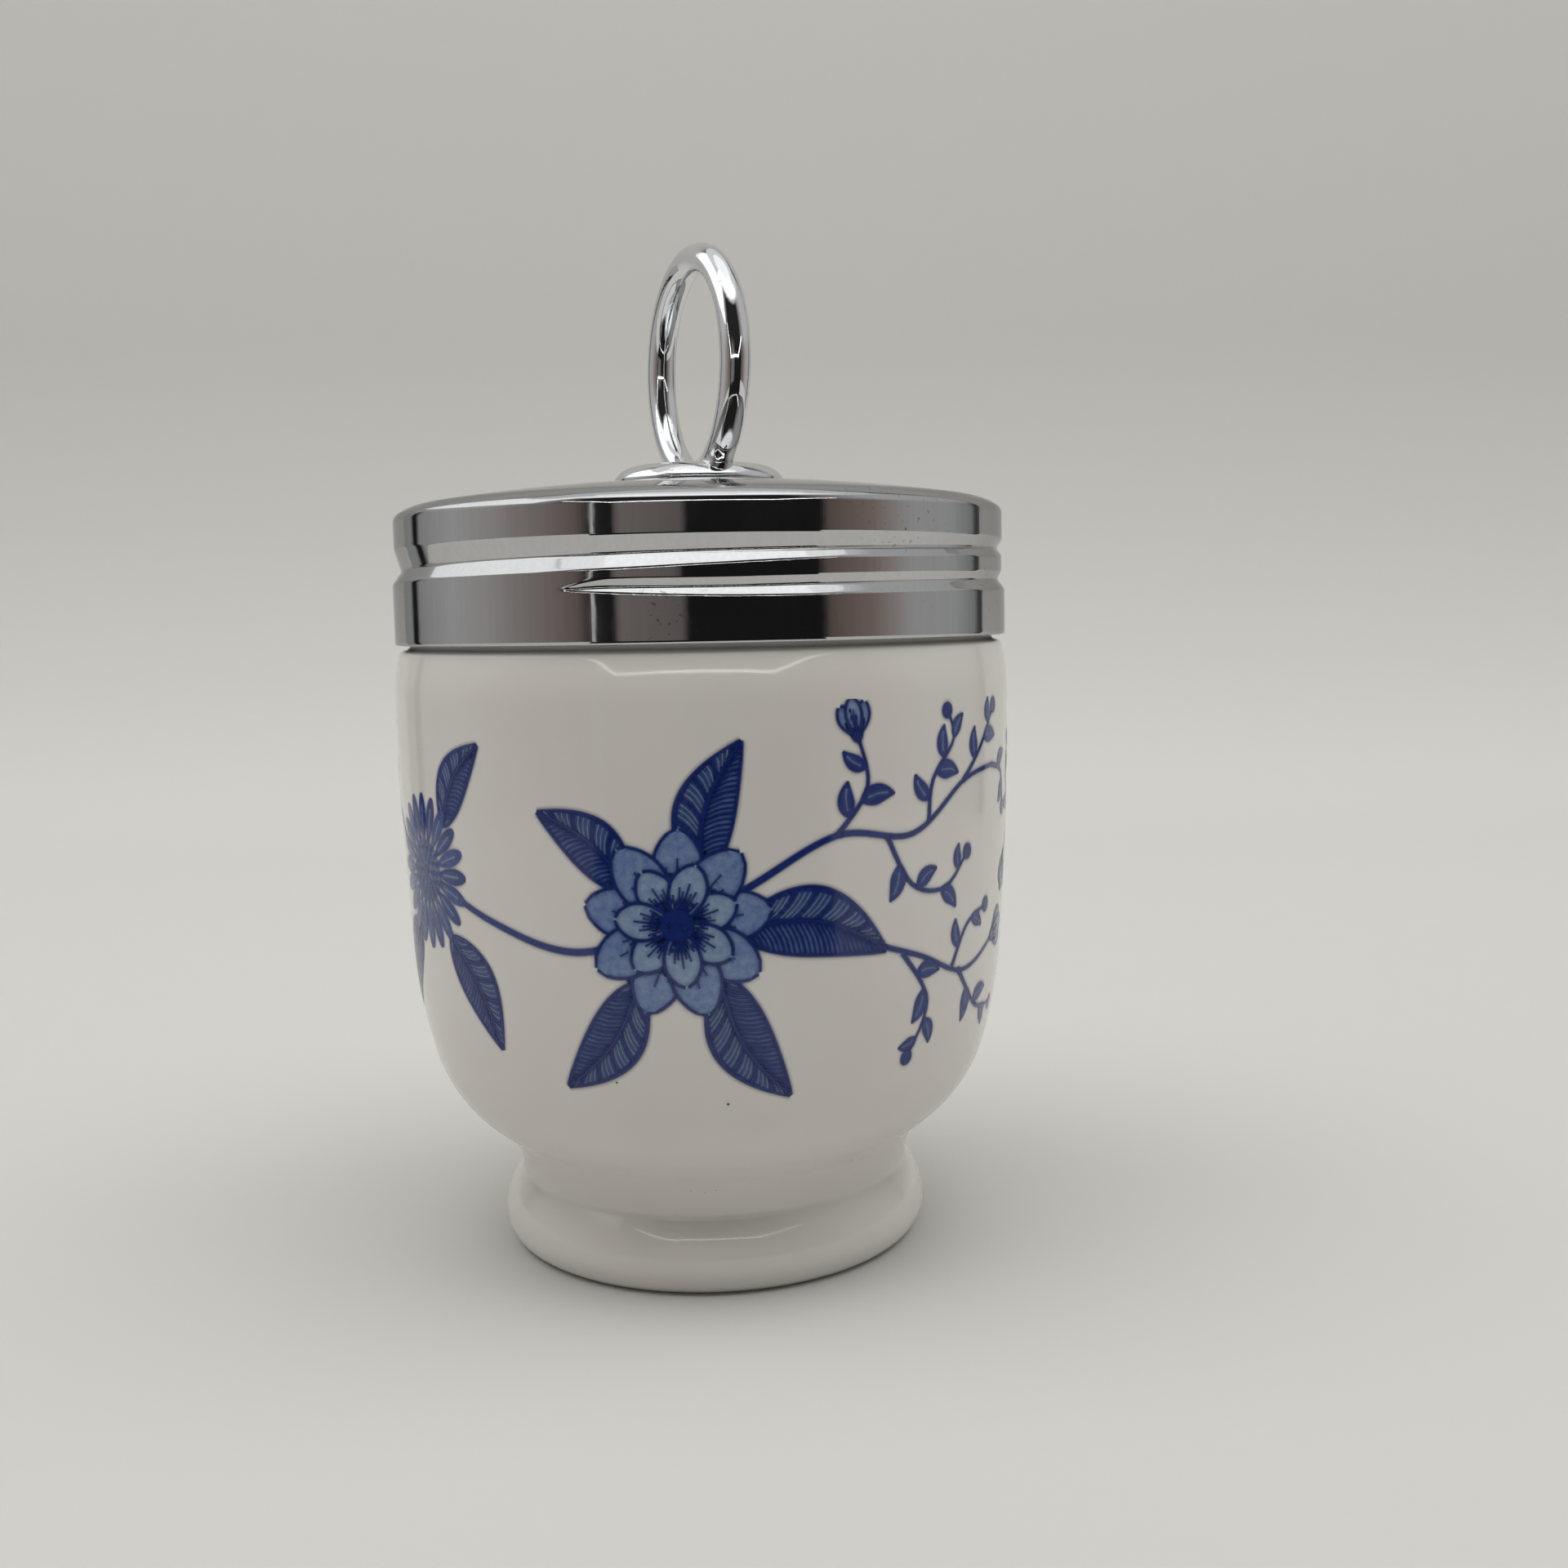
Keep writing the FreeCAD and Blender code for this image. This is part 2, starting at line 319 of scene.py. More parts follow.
# Arcs as (radius, turn): down the outside from the widest circle, on round the foot, up the
# shoulder, and down the inside
SIDE = ((375.0, -3.8), (51.4, -10.9), (14.5, -40.0))
FOOT = ((6.3, 50.0), (1.0, 46.7), (6.2, -42.0), (2.8, -58.0), (1.0, -32.0))
SHOULDER = ((15.8, 14.0), (0.85, 68.0), (0.4, -72.0))
INNER_SIDE = ((371.8, -3.8), (48.2, -10.9), (11.3, -40.0), (28.0, -35.3))
WIDEST_Z = -along((BOWL_R, 0.0), -90, SIDE + FOOT, 5.0)[-1][1]
NECK_R, RIM_R, MOUTH_R, RIM_ROUND = 28.2, 27.3, 25.0, 0.45
MOUTH_BEND_R = 6.0              # of the two arcs that narrow the inside to the mouth
NECK_FOOT, CUP_CORNER = 2.4, 0.5        # curve up to the neck, and softness of its corners
FOOT_FLAT, FOOT_CHAMFER, HOLLOW_WALL, HOLLOW_R = 1.5, 0.6, 1.6, 2.0     # under the foot
STEP, NECK_STEP, FLAT_STEP = 0.8, 0.12, 10.0
SEGMENTS = 256


def cup_outline():
    """Closed outline of the porcelain from the middle of its floor inside, over the rim, to the
    hollow underneath, as (radius, height)."""
    outer = along((BOWL_R, WIDEST_Z), -90, SIDE + FOOT, STEP)
    shoulder = along((BOWL_R, WIDEST_Z), 90, SHOULDER, 0.25)
    shoulder_z = shoulder[-1][1]
    rim_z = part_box("cup")[1].z / MM
    neck = [(NECK_R, shoulder_z + NECK_FOOT), (NECK_R, rim_z - NECK_R + RIM_R), (RIM_R, rim_z),
            (MOUTH_R + RIM_ROUND, rim_z), (MOUTH_R, rim_z - RIM_ROUND)]
    inner_r = BOWL_R - BOWL_WALL
    inner = along((inner_r, WIDEST_Z), -90, INNER_SIDE, STEP)
    bend = math.degrees(math.acos(1 - (inner_r - MOUTH_R) / (2 * MOUTH_BEND_R)))
    above = along((inner_r, WIDEST_Z), 90, ((MOUTH_BEND_R, bend), (MOUTH_BEND_R, -bend)), STEP)
    edge = outer[-1][0] - FOOT_FLAT
    hollow_r = edge - FOOT_CHAMFER
    under = along((hollow_r, HOLLOW_WALL), 90, ((HOLLOW_R, 90.0),), 0.4)
    path = [(0.0, inner[-1][1])] + flat(inner[::-1]) + flat(above[1:])
    to_shoulder = [path[-1]] + neck[::-1] + [(shoulder[-1][0], shoulder_z)]
    path += smooth_corners(to_shoulder, CUP_CORNER, STEP)[1:]
    path += flat(shoulder[::-1][1:]) + flat(outer[1:])
    path += [(edge, 0.0), (hollow_r, FOOT_CHAMFER)] + flat(under) + [(0.0, HOLLOW_WALL + HOLLOW_R)]
    return path


RIDGE_HEIGHT, RIDGE_WIDTH, RIDGE_CREST = 0.75, 1.4, 0.3
RIDGE_START, RIDGE_SWEEP, RIDGE_RUN_IN = -150.0, 380.0, 24.0
RIDGE_FRONT_Z = 65.9            # middle of the ridge at the front angle
THREAD_PITCH, FRONT_ANGLE = 3.0, -92.0


def neck_ridge(angle, z):
    """How far the thread of the porcelain stands out of the neck, at angles and heights."""
    out = np.zeros(np.broadcast(angle, z).shape)
    for turn in range(-1, 3):
        a = angle + 360.0 * turn
        from_end = np.minimum(a - RIDGE_START, RIDGE_START + RIDGE_SWEEP - a)
        share = np.clip(from_end / RIDGE_RUN_IN, 0, 1)
        off = np.abs(z - (RIDGE_FRONT_Z + THREAD_PITCH * (a - FRONT_ANGLE) / 360.0))
        rise = np.clip((RIDGE_WIDTH / 2 - off) / ((RIDGE_WIDTH - RIDGE_CREST) / 2), 0, 1)
        out = np.maximum(out, RIDGE_HEIGHT * share * rise * rise * (3 - 2 * rise))
    return out


def on_neck(r):
    return np.abs(r - NECK_R) < 0.01


def cup_mesh():
    """Cup turned about Z, with close rows on its neck, where the thread stands out."""
    path = cup_outline()
    fine = [path[0]]
    for a, b in zip(path, path[1:]):
        fine += filled([a, b], NECK_STEP if on_neck(a[0]) and on_neck(b[0]) else FLAT_STEP)[1:]
    o = np.array(fine)
    angles = np.arange(SEGMENTS) * 360.0 / SEGMENTS
    r, z = o[:, 0:1], o[:, 1:2]
    r = r + np.where(on_neck(r), neck_ridge(angles[None, :], z), 0.0)
    return grid_mesh("cup_porcelain", turned_round(r, z, angles))


piece("cup_porcelain", tidy_mesh(cup_mesh()), "cup", "porcelain", porcelain, "cup")


# ---------------------------------------------------------------- blue print on the cup

REPEATS = 2                     # times that the design runs round the cup
REPEAT_LENGTH = 2 * math.pi * BOWL_R / REPEATS
PRINT_MIDDLE = 19.5             # from the widest circle down the side to the design's middle
PRINT_START = -118.0            # angle at which the first repeat begins
INK_LIFT = 0.02                 # first level above the glaze
LEVEL_LIFT = 0.0012             # from one level to the next
FRINGE = 0.40                   # width of the faint bleed outside a stroke
BLEED = 0.12                    # and of its stronger part
SOFT = 0.10                     # of the fading part inside it
EDGE_INK, BLEED_INK = 0.6, 0.14 # what is left of the ink at a stroke's edge and where it bleeds
WIDEST_QUAD = 1.1               # across a stroke
DOT_SIDES = 16
BUD_R = 0.75
# Tones, from 0 for the palest wash to 1 for the deepest blue
DEEP, DARK, LINE, PALE = 1.0, 0.95, 0.9, 0.12

side_rows = along((BOWL_R, WIDEST_Z), -90, SIDE + FOOT, 0.2)
side_table = np.array([(r, z, math.radians(h)) for r, z, h in side_rows])
side_length = np.concatenate([[0], np.cumsum(np.hypot(*np.diff(side_table[:, :2], axis=0).T))])


def beside(place, distance, a):
    """The place at a distance from another, in the direction of an angle in radians."""
    return (place[0] + distance * math.cos(a), place[1] + distance * math.sin(a))


class Ink:
    """Strokes laid on the cup, as strips whose edges fade out."""

    def __init__(self):
        self.points, self.faces, self.ink, self.tone = [], [], [], []

    def point(self, u, v, ink, tone, level):
        """Adds a point on the cup from its place in the design: u to the right and v up."""
        down = PRINT_MIDDLE - v
        r, z, h = (np.interp(down, side_length, side_table[:, i]) for i in range(3))
        a = math.radians(PRINT_START) + u / BOWL_R
        lift = INK_LIFT + LEVEL_LIFT * level
        r = r - lift * math.sin(h)
        z = z + lift * math.cos(h)
        self.points.append((r * math.cos(a) * MM, r * math.sin(a) * MM, z * MM))
        self.ink.append(ink)
        self.tone.append(tone)

    def strip(self, line, widths, tone, level, strength=1.0):
        """Stroke along a line. Widths are half widths, and a higher level lies on top."""
        line = np.array(line, float)
        widths = np.broadcast_to(np.array(widths, float), (len(line),))
        tangent = np.gradient(line, axis=0)
        tangent /= np.maximum(np.hypot(*tangent.T), 1e-6)[:, None]
        normal = np.stack([-tangent[:, 1], tangent[:, 0]], -1)
        inner = int(2 * widths.max() / WIDEST_QUAD)
        across = [-1.0] + [-1 + 2 * (i + 1) / (inner + 1) for i in range(inner)] + [1.0]
        base = len(self.points)
        cols = len(across) + 6
        for p, n, w in zip(line, normal, widths):
            full = max(w - SOFT, 0.5 * w)
            offsets = [(-w - FRINGE, 0.0), (-w - BLEED, BLEED_INK), (-w, EDGE_INK)]
            offsets += [(k * full, 1.0) for k in across]
            offsets += [(w, EDGE_INK), (w + BLEED, BLEED_INK), (w + FRINGE, 0.0)]
            for k, ink in offsets:
                self.point(p[0] + n[0] * k, p[1] + n[1] * k, ink * strength, tone, level)
        for i in range(len(line) - 1):
            for j in range(cols - 1):
                a = base + i * cols + j
                self.faces.append((a, a + 1, a + cols + 1, a + cols))

    def dot(self, place, radius, tone, level, bleed=1.0):
        """Round spot: a fan with a soft rim, that bleeds by a share of what a stroke does."""
        n = DOT_SIDES
        base = len(self.points)
        self.point(place[0], place[1], 1.0, tone, level)
        for r, ink in ((max(radius - SOFT, 0.5 * radius), 1.0), (radius, EDGE_INK),
                       (radius + bleed * BLEED, BLEED_INK), (radius + bleed * FRINGE, 0.0)):
            for k in range(n):
                self.point(*beside(place, r, 2 * math.pi * k / n), ink, tone, level)
        for k in range(n):
            self.faces.append((base, base + 1 + k, base + 1 + (k + 1) % n))
            for row in range(3):
                a, b = base + 1 + row * n + k, base + 1 + row * n + (k + 1) % n
                self.faces.append((a, a + n, b + n, b))

    def mesh(self, name):
        mesh = bpy.data.meshes.new(name)
        mesh.from_pydata(self.points, [], self.faces)
        for attribute, values in (("ink", self.ink), ("tone", self.tone)):
            layer = mesh.attributes.new(attribute, "FLOAT", "POINT")
            layer.data.foreach_set("value", np.array(values, np.float32))
        for p in mesh.polygons:
            p.use_smooth = True
        mesh.update()
        return mesh


def curve(points, step=0.7):
    """Smooth line through points, in even steps."""
    p = np.array([points[0]] + list(points) + [points[-1]], float)
    out = []
    for i in range(1, len(p) - 2):
        a, b, c, d = p[i - 1], p[i], p[i + 1], p[i + 2]
        n = max(3, int(math.hypot(*(c - b)) / step))
        for k in range(n):
            t = k / n
            out.append(0.5 * (2 * b + (c - a) * t + (2 * a - 5 * b + 4 * c - d) * t * t
                              + (3 * b - 3 * c + d - a) * t ** 3))
    out.append(p[-2])
    return np.array(out)


def turned_to(points, place, angle):
    """Points of a motif drawn along +u, turned and moved to their place."""
    a = math.radians(angle)
    m = np.array(((math.cos(a), -math.sin(a)), (math.sin(a), math.cos(a))))
    return np.array(points, float) @ m.T + np.array(place)


def stem(ink, points, thick=0.24, end=0.14):
    line = curve(points)
    ink.strip(line, np.linspace(thick, end, len(line)), LINE, 1)
    return line


def small_leaf(ink, place, angle, length):
    """Filled leaf with a pointed tip and a pale midrib."""
    t = np.linspace(0, 1, 11)
    w = 0.24 * length * np.sin(math.pi * t ** 0.8) ** 0.9 + 0.05
    line = turned_to(np.stack([t * length, 0.10 * length * np.sin(math.pi * t)], -1), place, angle)
    ink.strip(line, w, LINE, 3)
    ink.strip(line[2:9], 0.03, PALE, 4, 0.7)


def large_leaf(ink, place, angle, length, width, bend, side):
    """Smooth-edged leaf: dark with pale veins on one side of its midrib (1 or -1), and light with
    dark veins on the other. Every fourth vein is a main one, dark on both."""
    level = 5
    t = np.linspace(0, 1, 27)
    mid = np.stack([t * length, side * bend * length * np.sin(math.pi * t)], -1)
    outline = width * np.sin(math.pi * t ** 0.85) ** 0.85 * (1 - 0.15 * t)
    for half, tone in ((side, 0.88), (-side, 0.30)):
        centre = mid + np.stack([0 * t, half * outline / 2], -1)
        ink.strip(turned_to(centre, place, angle), outline / 2 + 0.02, tone, level, 0.96)
    for half in (1, -1):
        edge = mid + np.stack([0 * t, half * outline], -1)
        ink.strip(turned_to(edge, place, angle), 0.13, DARK, level + 1)
    ink.strip(turned_to(mid, place, angle), np.linspace(0.20, 0.09, len(t)), DEEP, level + 2)
    veins = int(length / 0.52)
    for k in range(1, veins):
        f = k / veins * 0.88
        for half in (1, -1):
            f_end = f + 0.12
            start = (f * length, np.interp(f, t, mid[:, 1]))
            reach = half * np.interp(f_end, t, outline) * 0.97
            end = (f_end * length, np.interp(f_end, t, mid[:, 1]) + reach)
            middle = ((start[0] + end[0]) / 2 + 0.25, (start[1] + end[1]) / 2)
            line = turned_to(curve([start, middle, end], 0.8), place, angle)
            main_vein = k % 4 == 2
            if half == side and not main_vein:
                ink.strip(line[1:-1], 0.05, PALE, level + 1, 0.62)
            else:
                ink.strip(line, 0.13 if main_vein else 0.085, DARK, level + 1, 0.95)


def petal(ink, place, angle, length, width, level, fill=0.14):
    """Open petal: pale fill, dark outline and fine lines from its root."""
    t = np.linspace(0, 1, 17)
    outline = width * np.sin(math.pi * np.clip(t * 0.93 + 0.05, 0, 1) ** 1.35) ** 0.7
    outline[-1] = 0.12
    middle = turned_to(np.stack([t * length, 0 * t], -1), place, angle)
    ink.strip(middle, outline * 0.97, fill, level, 0.97)
    for half in (1, -1):
        edge = turned_to(np.stack([t * length, half * outline], -1), place, angle)
        ink.strip(edge, 0.12, DARK, level + 1)
    lines = 3 if width > 1.2 else 1
    for k in range(-lines, lines + 1):
        reach = length * (0.70 - 0.05 * abs(k) - (0.10 if k % 2 else 0))
        points = [(length * 0.12, 0.0), (reach * 0.6, k * width * 0.13), (reach, k * width * 0.23)]
        line = turned_to(curve(points), place, angle)
        ink.strip(line, np.linspace(0.085, 0.03, len(line)), LINE, level + 1)


def large_flower(ink, place):
    """Many-petalled open flower: two rings of petals round a dotted centre."""
    for k in range(9):
        petal(ink, place, 40 * ((2 * k) % 9) + 8, 8.2, 2.15, 8 + 2 * k, 0.22)
    for k in range(7):
        petal(ink, place, 360 / 7 * ((2 * k) % 7) + 20, 5.4, 1.6, 28 + 2 * k, 0.06)
    ink.dot(place, 1.45, DEEP, 44)
    for k in range(14):
        ink.dot(beside(place, 2.15, 2 * math.pi * k / 14), 0.20, DARK, 44)


def daisy(ink, place, size):
    """Rayed flower: many narrow dark petals round a wide centre of rings."""
    rays = 20
    for k in range(rays):
        angle = 360 / rays * ((3 * k) % rays)
        t = np.linspace(0, 1, 13)
        w = 0.78 * size * np.sin(math.pi * np.clip(t * 0.9 + 0.08, 0, 1) ** 1.4) ** 0.6
        line = np.stack([3.0 * size + t * 4.6 * size, 0 * t], -1)
        ink.strip(turned_to(line, place, angle), w, 0.70 if k % 2 else 0.85, 8 + k % 3, 0.97)
        ink.strip(turned_to(line[2:10], place, angle), 0.06, 0.05, 12, 0.75)
    for ring, count in ((2.75, 20), (2.0, 14), (1.25, 8)):
        circle = [beside(place, ring * size, a) for a in np.linspace(0, 2 * math.pi, 33)]
        ink.strip(circle, 0.34 * size, 0.25, 13, 0.97)
        for k in range(count):
            a = 2 * math.pi * (k + 0.5 * (count % 3)) / count
            ink.dot(beside(place, ring * size, a), 0.24 * size, LINE, 15)
    ink.dot(place, 0.75 * size, DARK, 15)


def bell(ink, place, angle, size):
    """Small bell-shaped flower seen from the side, with three tips."""
    for i, (spread, length) in enumerate(((-24, 3.6), (24, 3.6), (0, 4.0))):
        petal(ink, place, angle + spread, length * size, 0.9 * size, 8 + 2 * i)
    ink.dot(place, 0.6 * size, DEEP, 16)


def twig(ink, points, leaves, end_bud=True):
    """Stem with small leaves, each a (share of its length, angle off the stem, leaf's length)."""
    line = stem(ink, points)
    for share, angle, length in leaves:
        i = min(int(share * (len(line) - 1)), len(line) - 2)
        d = line[i + 1] - line[i]
        heading = math.degrees(math.atan2(d[1], d[0]))
        small_leaf(ink, line[i], heading + angle, length)
    if end_bud:
        ink.dot(line[-1], BUD_R, DARK, 6)


def design(ink, start):
    """One repeat of the design, beginning at start along the side."""
    def at(u, v):
        return (start + u, v)

    large_leaf(ink, at(15.5, -3.5), -60, 13.0, 2.9, 0.10, -1)
    large_leaf(ink, at(17.0, 0.5), -12, 14.5, 3.2, 0.12, 1)
    large_leaf(ink, at(14.0, 5.0), 72, 12.0, 2.7, 0.10, 1)
    large_leaf(ink, at(8.5, -4.0), 232, 12.5, 2.7, 0.10, 1)
    large_leaf(ink, at(8.0, 4.0), 142, 10.5, 2.4, 0.10, -1)
    stem(ink, [at(12.0, 1.0), at(18.0, 4.0), at(26.0, 8.0), at(34.0, 7.5), at(41.0, 11.5),
               at(47.0, 12.5)], 0.34, 0.18)
    stem(ink, [at(12.0, 1.0), at(3.0, -1.5), at(-6.0, 0.5), at(-15.5, 4.0)], 0.32, 0.26)
    large_flower(ink, at(12.0, 1.0))
    large_leaf(ink, at(-12.5, -1.5), -58, 11.5, 2.6, 0.10, 1)
    large_leaf(ink, at(-19.5, -1.0), 238, 11.0, 2.6, 0.10, -1)
    large_leaf(ink, at(-12.5, 8.5), 52, 9.5, 2.2, 0.10, 1)
    daisy(ink, at(-16.5, 4.0), 0.95)
    stem(ink, [at(-22.0, 6.0), at(-29.0, 10.0), at(-36.0, 8.5), at(-41.5, 3.0)], 0.30, 0.16)
    twig(ink, [at(-27.0, 9.2), at(-30.0, 13.0), at(-34.0, 15.5)],
         [(0.3, -48, 3.2), (0.5, 50, 3.2), (0.75, -44, 2.8)])
    twig(ink, [at(-33.0, 9.8), at(-33.5, 5.0), at(-30.5, 0.0)],
         [(0.3, -50, 3.2), (0.5, 48, 3.2), (0.75, -44, 2.8)])
    twig(ink, [at(-38.0, 7.3), at(-41.0, 10.5), at(-40.0, 14.5)],
         [(0.35, 48, 3.0), (0.65, -46, 2.8)])
    bell(ink, at(-41.5, 3.2), 250, 0.9)
    twig(ink, [at(26.0, 8.0), at(29.0, 12.0), at(28.0, 16.5)],
         [(0.30, 45, 3.2), (0.45, -50, 3.6), (0.75, 42, 2.8)], False)
    bell(ink, at(28.0, 16.3), 100, 0.85)
    twig(ink, [at(31.0, 7.6), at(34.0, 3.0), at(38.5, 2.2), at(42.0, 5.0)],
         [(0.25, -50, 3.4), (0.45, 52, 3.0), (0.65, -48, 3.2), (0.85, 45, 2.4)])
    twig(ink, [at(36.0, 8.3), at(36.5, 12.0), at(39.5, 15.5), at(38.5, 18.0)],
         [(0.25, 48, 3.0), (0.45, -52, 3.4), (0.62, 46, 3.0), (0.82, -40, 2.6)])
    twig(ink, [at(41.0, 11.5), at(44.5, 14.5), at(47.5, 18.0)],
         [(0.35, 50, 3.0), (0.6, -48, 3.0), (0.8, 42, 2.4)])
    twig(ink, [at(47.0, 12.5), at(50.5, 11.5), at(51.5, 8.0)], [(0.3, 45, 2.8), (0.6, -48, 2.6)])
    stem(ink, [at(27.0, -1.0), at(35.0, -3.5), at(42.0, -6.0), at(49.0, -4.0)], 0.26, 0.16)
    bell(ink, at(49.0, -4.0), 14, 1.0)
    twig(ink, [at(33.0, -3.0), at(36.5, -8.0), at(34.5, -13.0)],
         [(0.3, 50, 3.2), (0.45, -50, 3.4), (0.7, 46, 2.8), (0.86, -44, 2.4)])
    twig(ink, [at(41.0, -5.7), at(45.5, -10.0), at(51.0, -11.0)],
         [(0.3, -48, 3.4), (0.5, 48, 3.2), (0.72, -44, 2.8)])
    twig(ink, [at(40.0, -5.4), at(42.5, -1.8), at(46.5, -0.6)], [(0.35, 46, 2.8), (0.65, -42, 2.6)])


INK_COLOURS = ((0.0, (0.27, 0.37, 0.52)), (0.40, (0.075, 0.135, 0.38)),
               (0.75, (0.019, 0.043, 0.225)), (1.0, (0.009, 0.024, 0.155)))


def ink_material():
    """Cobalt blue by tone, mottled a little, as dense as the strokes' ink says."""
    m = Nodes("cobalt_underglaze")
    co = m.coords()
    ink = m.add("ShaderNodeAttribute", attribute_name="ink").outputs["Fac"]
    tone = m.add("ShaderNodeAttribute", attribute_name="tone").outputs["Fac"]
    grain = m.math("SUBTRACT", m.noise(1500.0, 3.0, 0.6, co), 0.5)
    mottle = m.math("ADD", tone, m.math("MULTIPLY", grain, 0.5))
    m.feed(m.ramp(mottle, INK_COLOURS), "Base Color")
    m.feed(ink, "Alpha")
    glazed(m, co)
    return m.material


# Dark specks in the glaze: angle, height and radius
SPECKS = ((-107.0, 22.2, 0.09), (-87.5, 20.2, 0.11), (-53.0, 11.1, 0.08), (-48.5, 11.0, 0.05),
          (-96.5, 9.9, 0.05), (-93.0, 9.7, 0.04), (-90.0, 9.9, 0.05), (-12.0, 30.0, 0.08),
          (70.0, 24.5, 0.10), (148.0, 14.0, 0.07))

ink = Ink()
for repeat in range(REPEATS):
    design(ink, repeat * REPEAT_LENGTH)
for angle, z, radius in SPECKS:
    down = np.interp(-z, -side_table[:, 1], side_length)
    speck = (math.radians(angle - PRINT_START) * BOWL_R, PRINT_MIDDLE - down)
    ink.dot(speck, radius, DEEP, 0, 0.2)
piece("cup_print", ink.mesh("cup_print"), "cup", "porcelain", ink_material())


# ---------------------------------------------------------------- lid

LID_R = 30.0
LID_Z = 59.60
BAND_Z = LID_Z + 9.1
CROWN_Z = BAND_Z + 2.5
WALL = 0.5
GROOVE_DEPTH = 0.9
GROOVE_FRONT_Z = LID_Z + 4.5    # middle of the groove's root at the front angle
GROOVE_START, GROOVE_SWEEP = -113.0, 481.0
GROOVE_RUN_OUT = 24.0
DEPTH_RUN_IN, WIDTH_RUN_IN, EDGE_RUN_IN = 40.0, 9.0, 50.0
DEPTH_POWER = 0.45              # below 1 the depth grows fastest at the start
FIRST_DEPTH = 0.65              # share of the depth that the first turn begins with
START_LIFT, START_LIFT_RUN = 0.28, 30.0
LOWER_SLOPE = 1.38              # height of the lower flank for each millimetre of its depth
ROOT_LOW, ROOT_HIGH, UPPER_FLANK = 0.08, 0.17, 0.90
LONGEST_FLANK = 2.3             # where no turn lies above it, the upper flank reaches for the band
THREAD_INSET, BAND_INSET = 0.3, 0.25
CORNER = 0.07                   # softness of the groove's corners
PROBE_STEP, KERNEL_REACH = 0.02, 14     # heights at which the side is worked out and softened
EDGE_ROUND = 0.10               # at the lower edge
CROWN_ARCS = ((0.9, 55.0), (4.5, 25.8), (171.0, 6.3))
HOLE_R = 2.06
LID_SEGMENTS, OUTSIDE_STEP, INSIDE_STEP = 360, 0.075, 0.17


def run_share(a, run_in):
    """How far the groove has run in, and not yet out, at an angle along it: 0 to 1."""
    to_end = GROOVE_START + GROOVE_SWEEP - a
    return float(np.clip(min((a - GROOVE_START) / run_in, to_end / GROOVE_RUN_OUT), 0, 1))


def quick(t):
    return t * (2 - t)


def smooth(t):
    return t * t * (3 - 2 * t)


def inset_column(angle, z):
    """How far the side lies inside the skirt at one angle, with the groove's corners still hard."""
    above = quick(run_share(angle + 360.0, WIDTH_RUN_IN))
    start = 0.0
    column = np.zeros(len(z))
    for k in (0, 1):
        a = angle + 360.0 * k
        share = run_share(a, DEPTH_RUN_IN) ** DEPTH_POWER
        width = quick(run_share(a, WIDTH_RUN_IN))
        if share <= 0:
            continue
        root = GROOVE_FRONT_Z + THREAD_PITCH * (a - FRONT_ANGLE) / 360.0
        root += START_LIFT * (1 - smooth(min(1.0, (a - GROOVE_START) / START_LIFT_RUN)))
        reach = min(BAND_Z, root + LONGEST_FLANK)
        top = root + UPPER_FLANK * width
        top = reach + (top - reach) * above if k == 0 else reach
        grown = FIRST_DEPTH + (1 - FIRST_DEPTH) * min(1, (a - GROOVE_START) / 360)
        depth = GROOVE_DEPTH * share * grown
        edge = THREAD_INSET if above and k == 0 else BAND_INSET
        edge *= smooth(run_share(a, EDGE_RUN_IN))
        column = np.where(z > root, np.maximum(column, edge), column)
        root_low, root_high = root + ROOT_LOW * width, root + ROOT_HIGH * width
        low = root_low - LOWER_SLOPE * max(depth - start, 0.01)
        cut = np.interp(z, (low, root_low, root_high, top), (start, depth, depth, edge))
        column = np.where((z > low) & (z < top), np.maximum(column, cut), column)
        start = edge
    return np.where(z > BAND_Z, BAND_INSET, column)


def lid_inset(angles, heights):
    """How far the side of the lid lies inside its skirt, as an array [height, angle]."""
    z = np.arange(LID_Z - 1.0, CROWN_Z + 1.0, PROBE_STEP)
    inset = np.stack([inset_column(angle, z) for angle in angles], -1)
    offsets = np.arange(-KERNEL_REACH, KERNEL_REACH + 1)
    kernel = np.exp(-0.5 * (offsets * PROBE_STEP / CORNER) ** 2)
    kernel /= kernel.sum()
    soft = sum(w * np.roll(inset, i, 0) for i, w in zip(offsets, kernel))
    rows = np.clip(np.searchsorted(z, heights) - 1, 0, len(z) - 2)
    t = ((heights - z[rows]) / PROBE_STEP)[:, None]
    return soft[rows] * (1 - t) + soft[rows + 1] * t


def crown_rows(sink, step):
    """Shoulder and crown from the top of the band to the seat of the flange."""
    arcs = [(radius - sink, turn) for radius, turn in CROWN_ARCS]
    return along((LID_R - BAND_INSET - sink, CROWN_Z), 90, arcs, step)


def lid_surface(sink, angles, step):
    """Side and crown of the lid, sink below its outside, from the lower edge upward."""
    thread_low, thread_high = LID_Z + 3.0, BAND_Z + 0.4
    heights = np.concatenate([[LID_Z, LID_Z + 0.12, LID_Z + 0.4],
                              np.linspace(LID_Z + 1.0, thread_low, 3),
                              np.arange(thread_low + step, thread_high, step),
                              np.linspace(thread_high, CROWN_Z - 0.15, 4)])
    side_r = LID_R - sink - lid_inset(angles, heights)
    side_r[0] += EDGE_ROUND if sink else -EDGE_ROUND
    crown = np.array(crown_rows(sink, 1.2))
    r = np.concatenate([side_r, np.repeat(crown[:, 0:1], len(angles), 1)])
    return turned_round(r, np.concatenate([heights, crown[:, 1]])[:, None], angles)


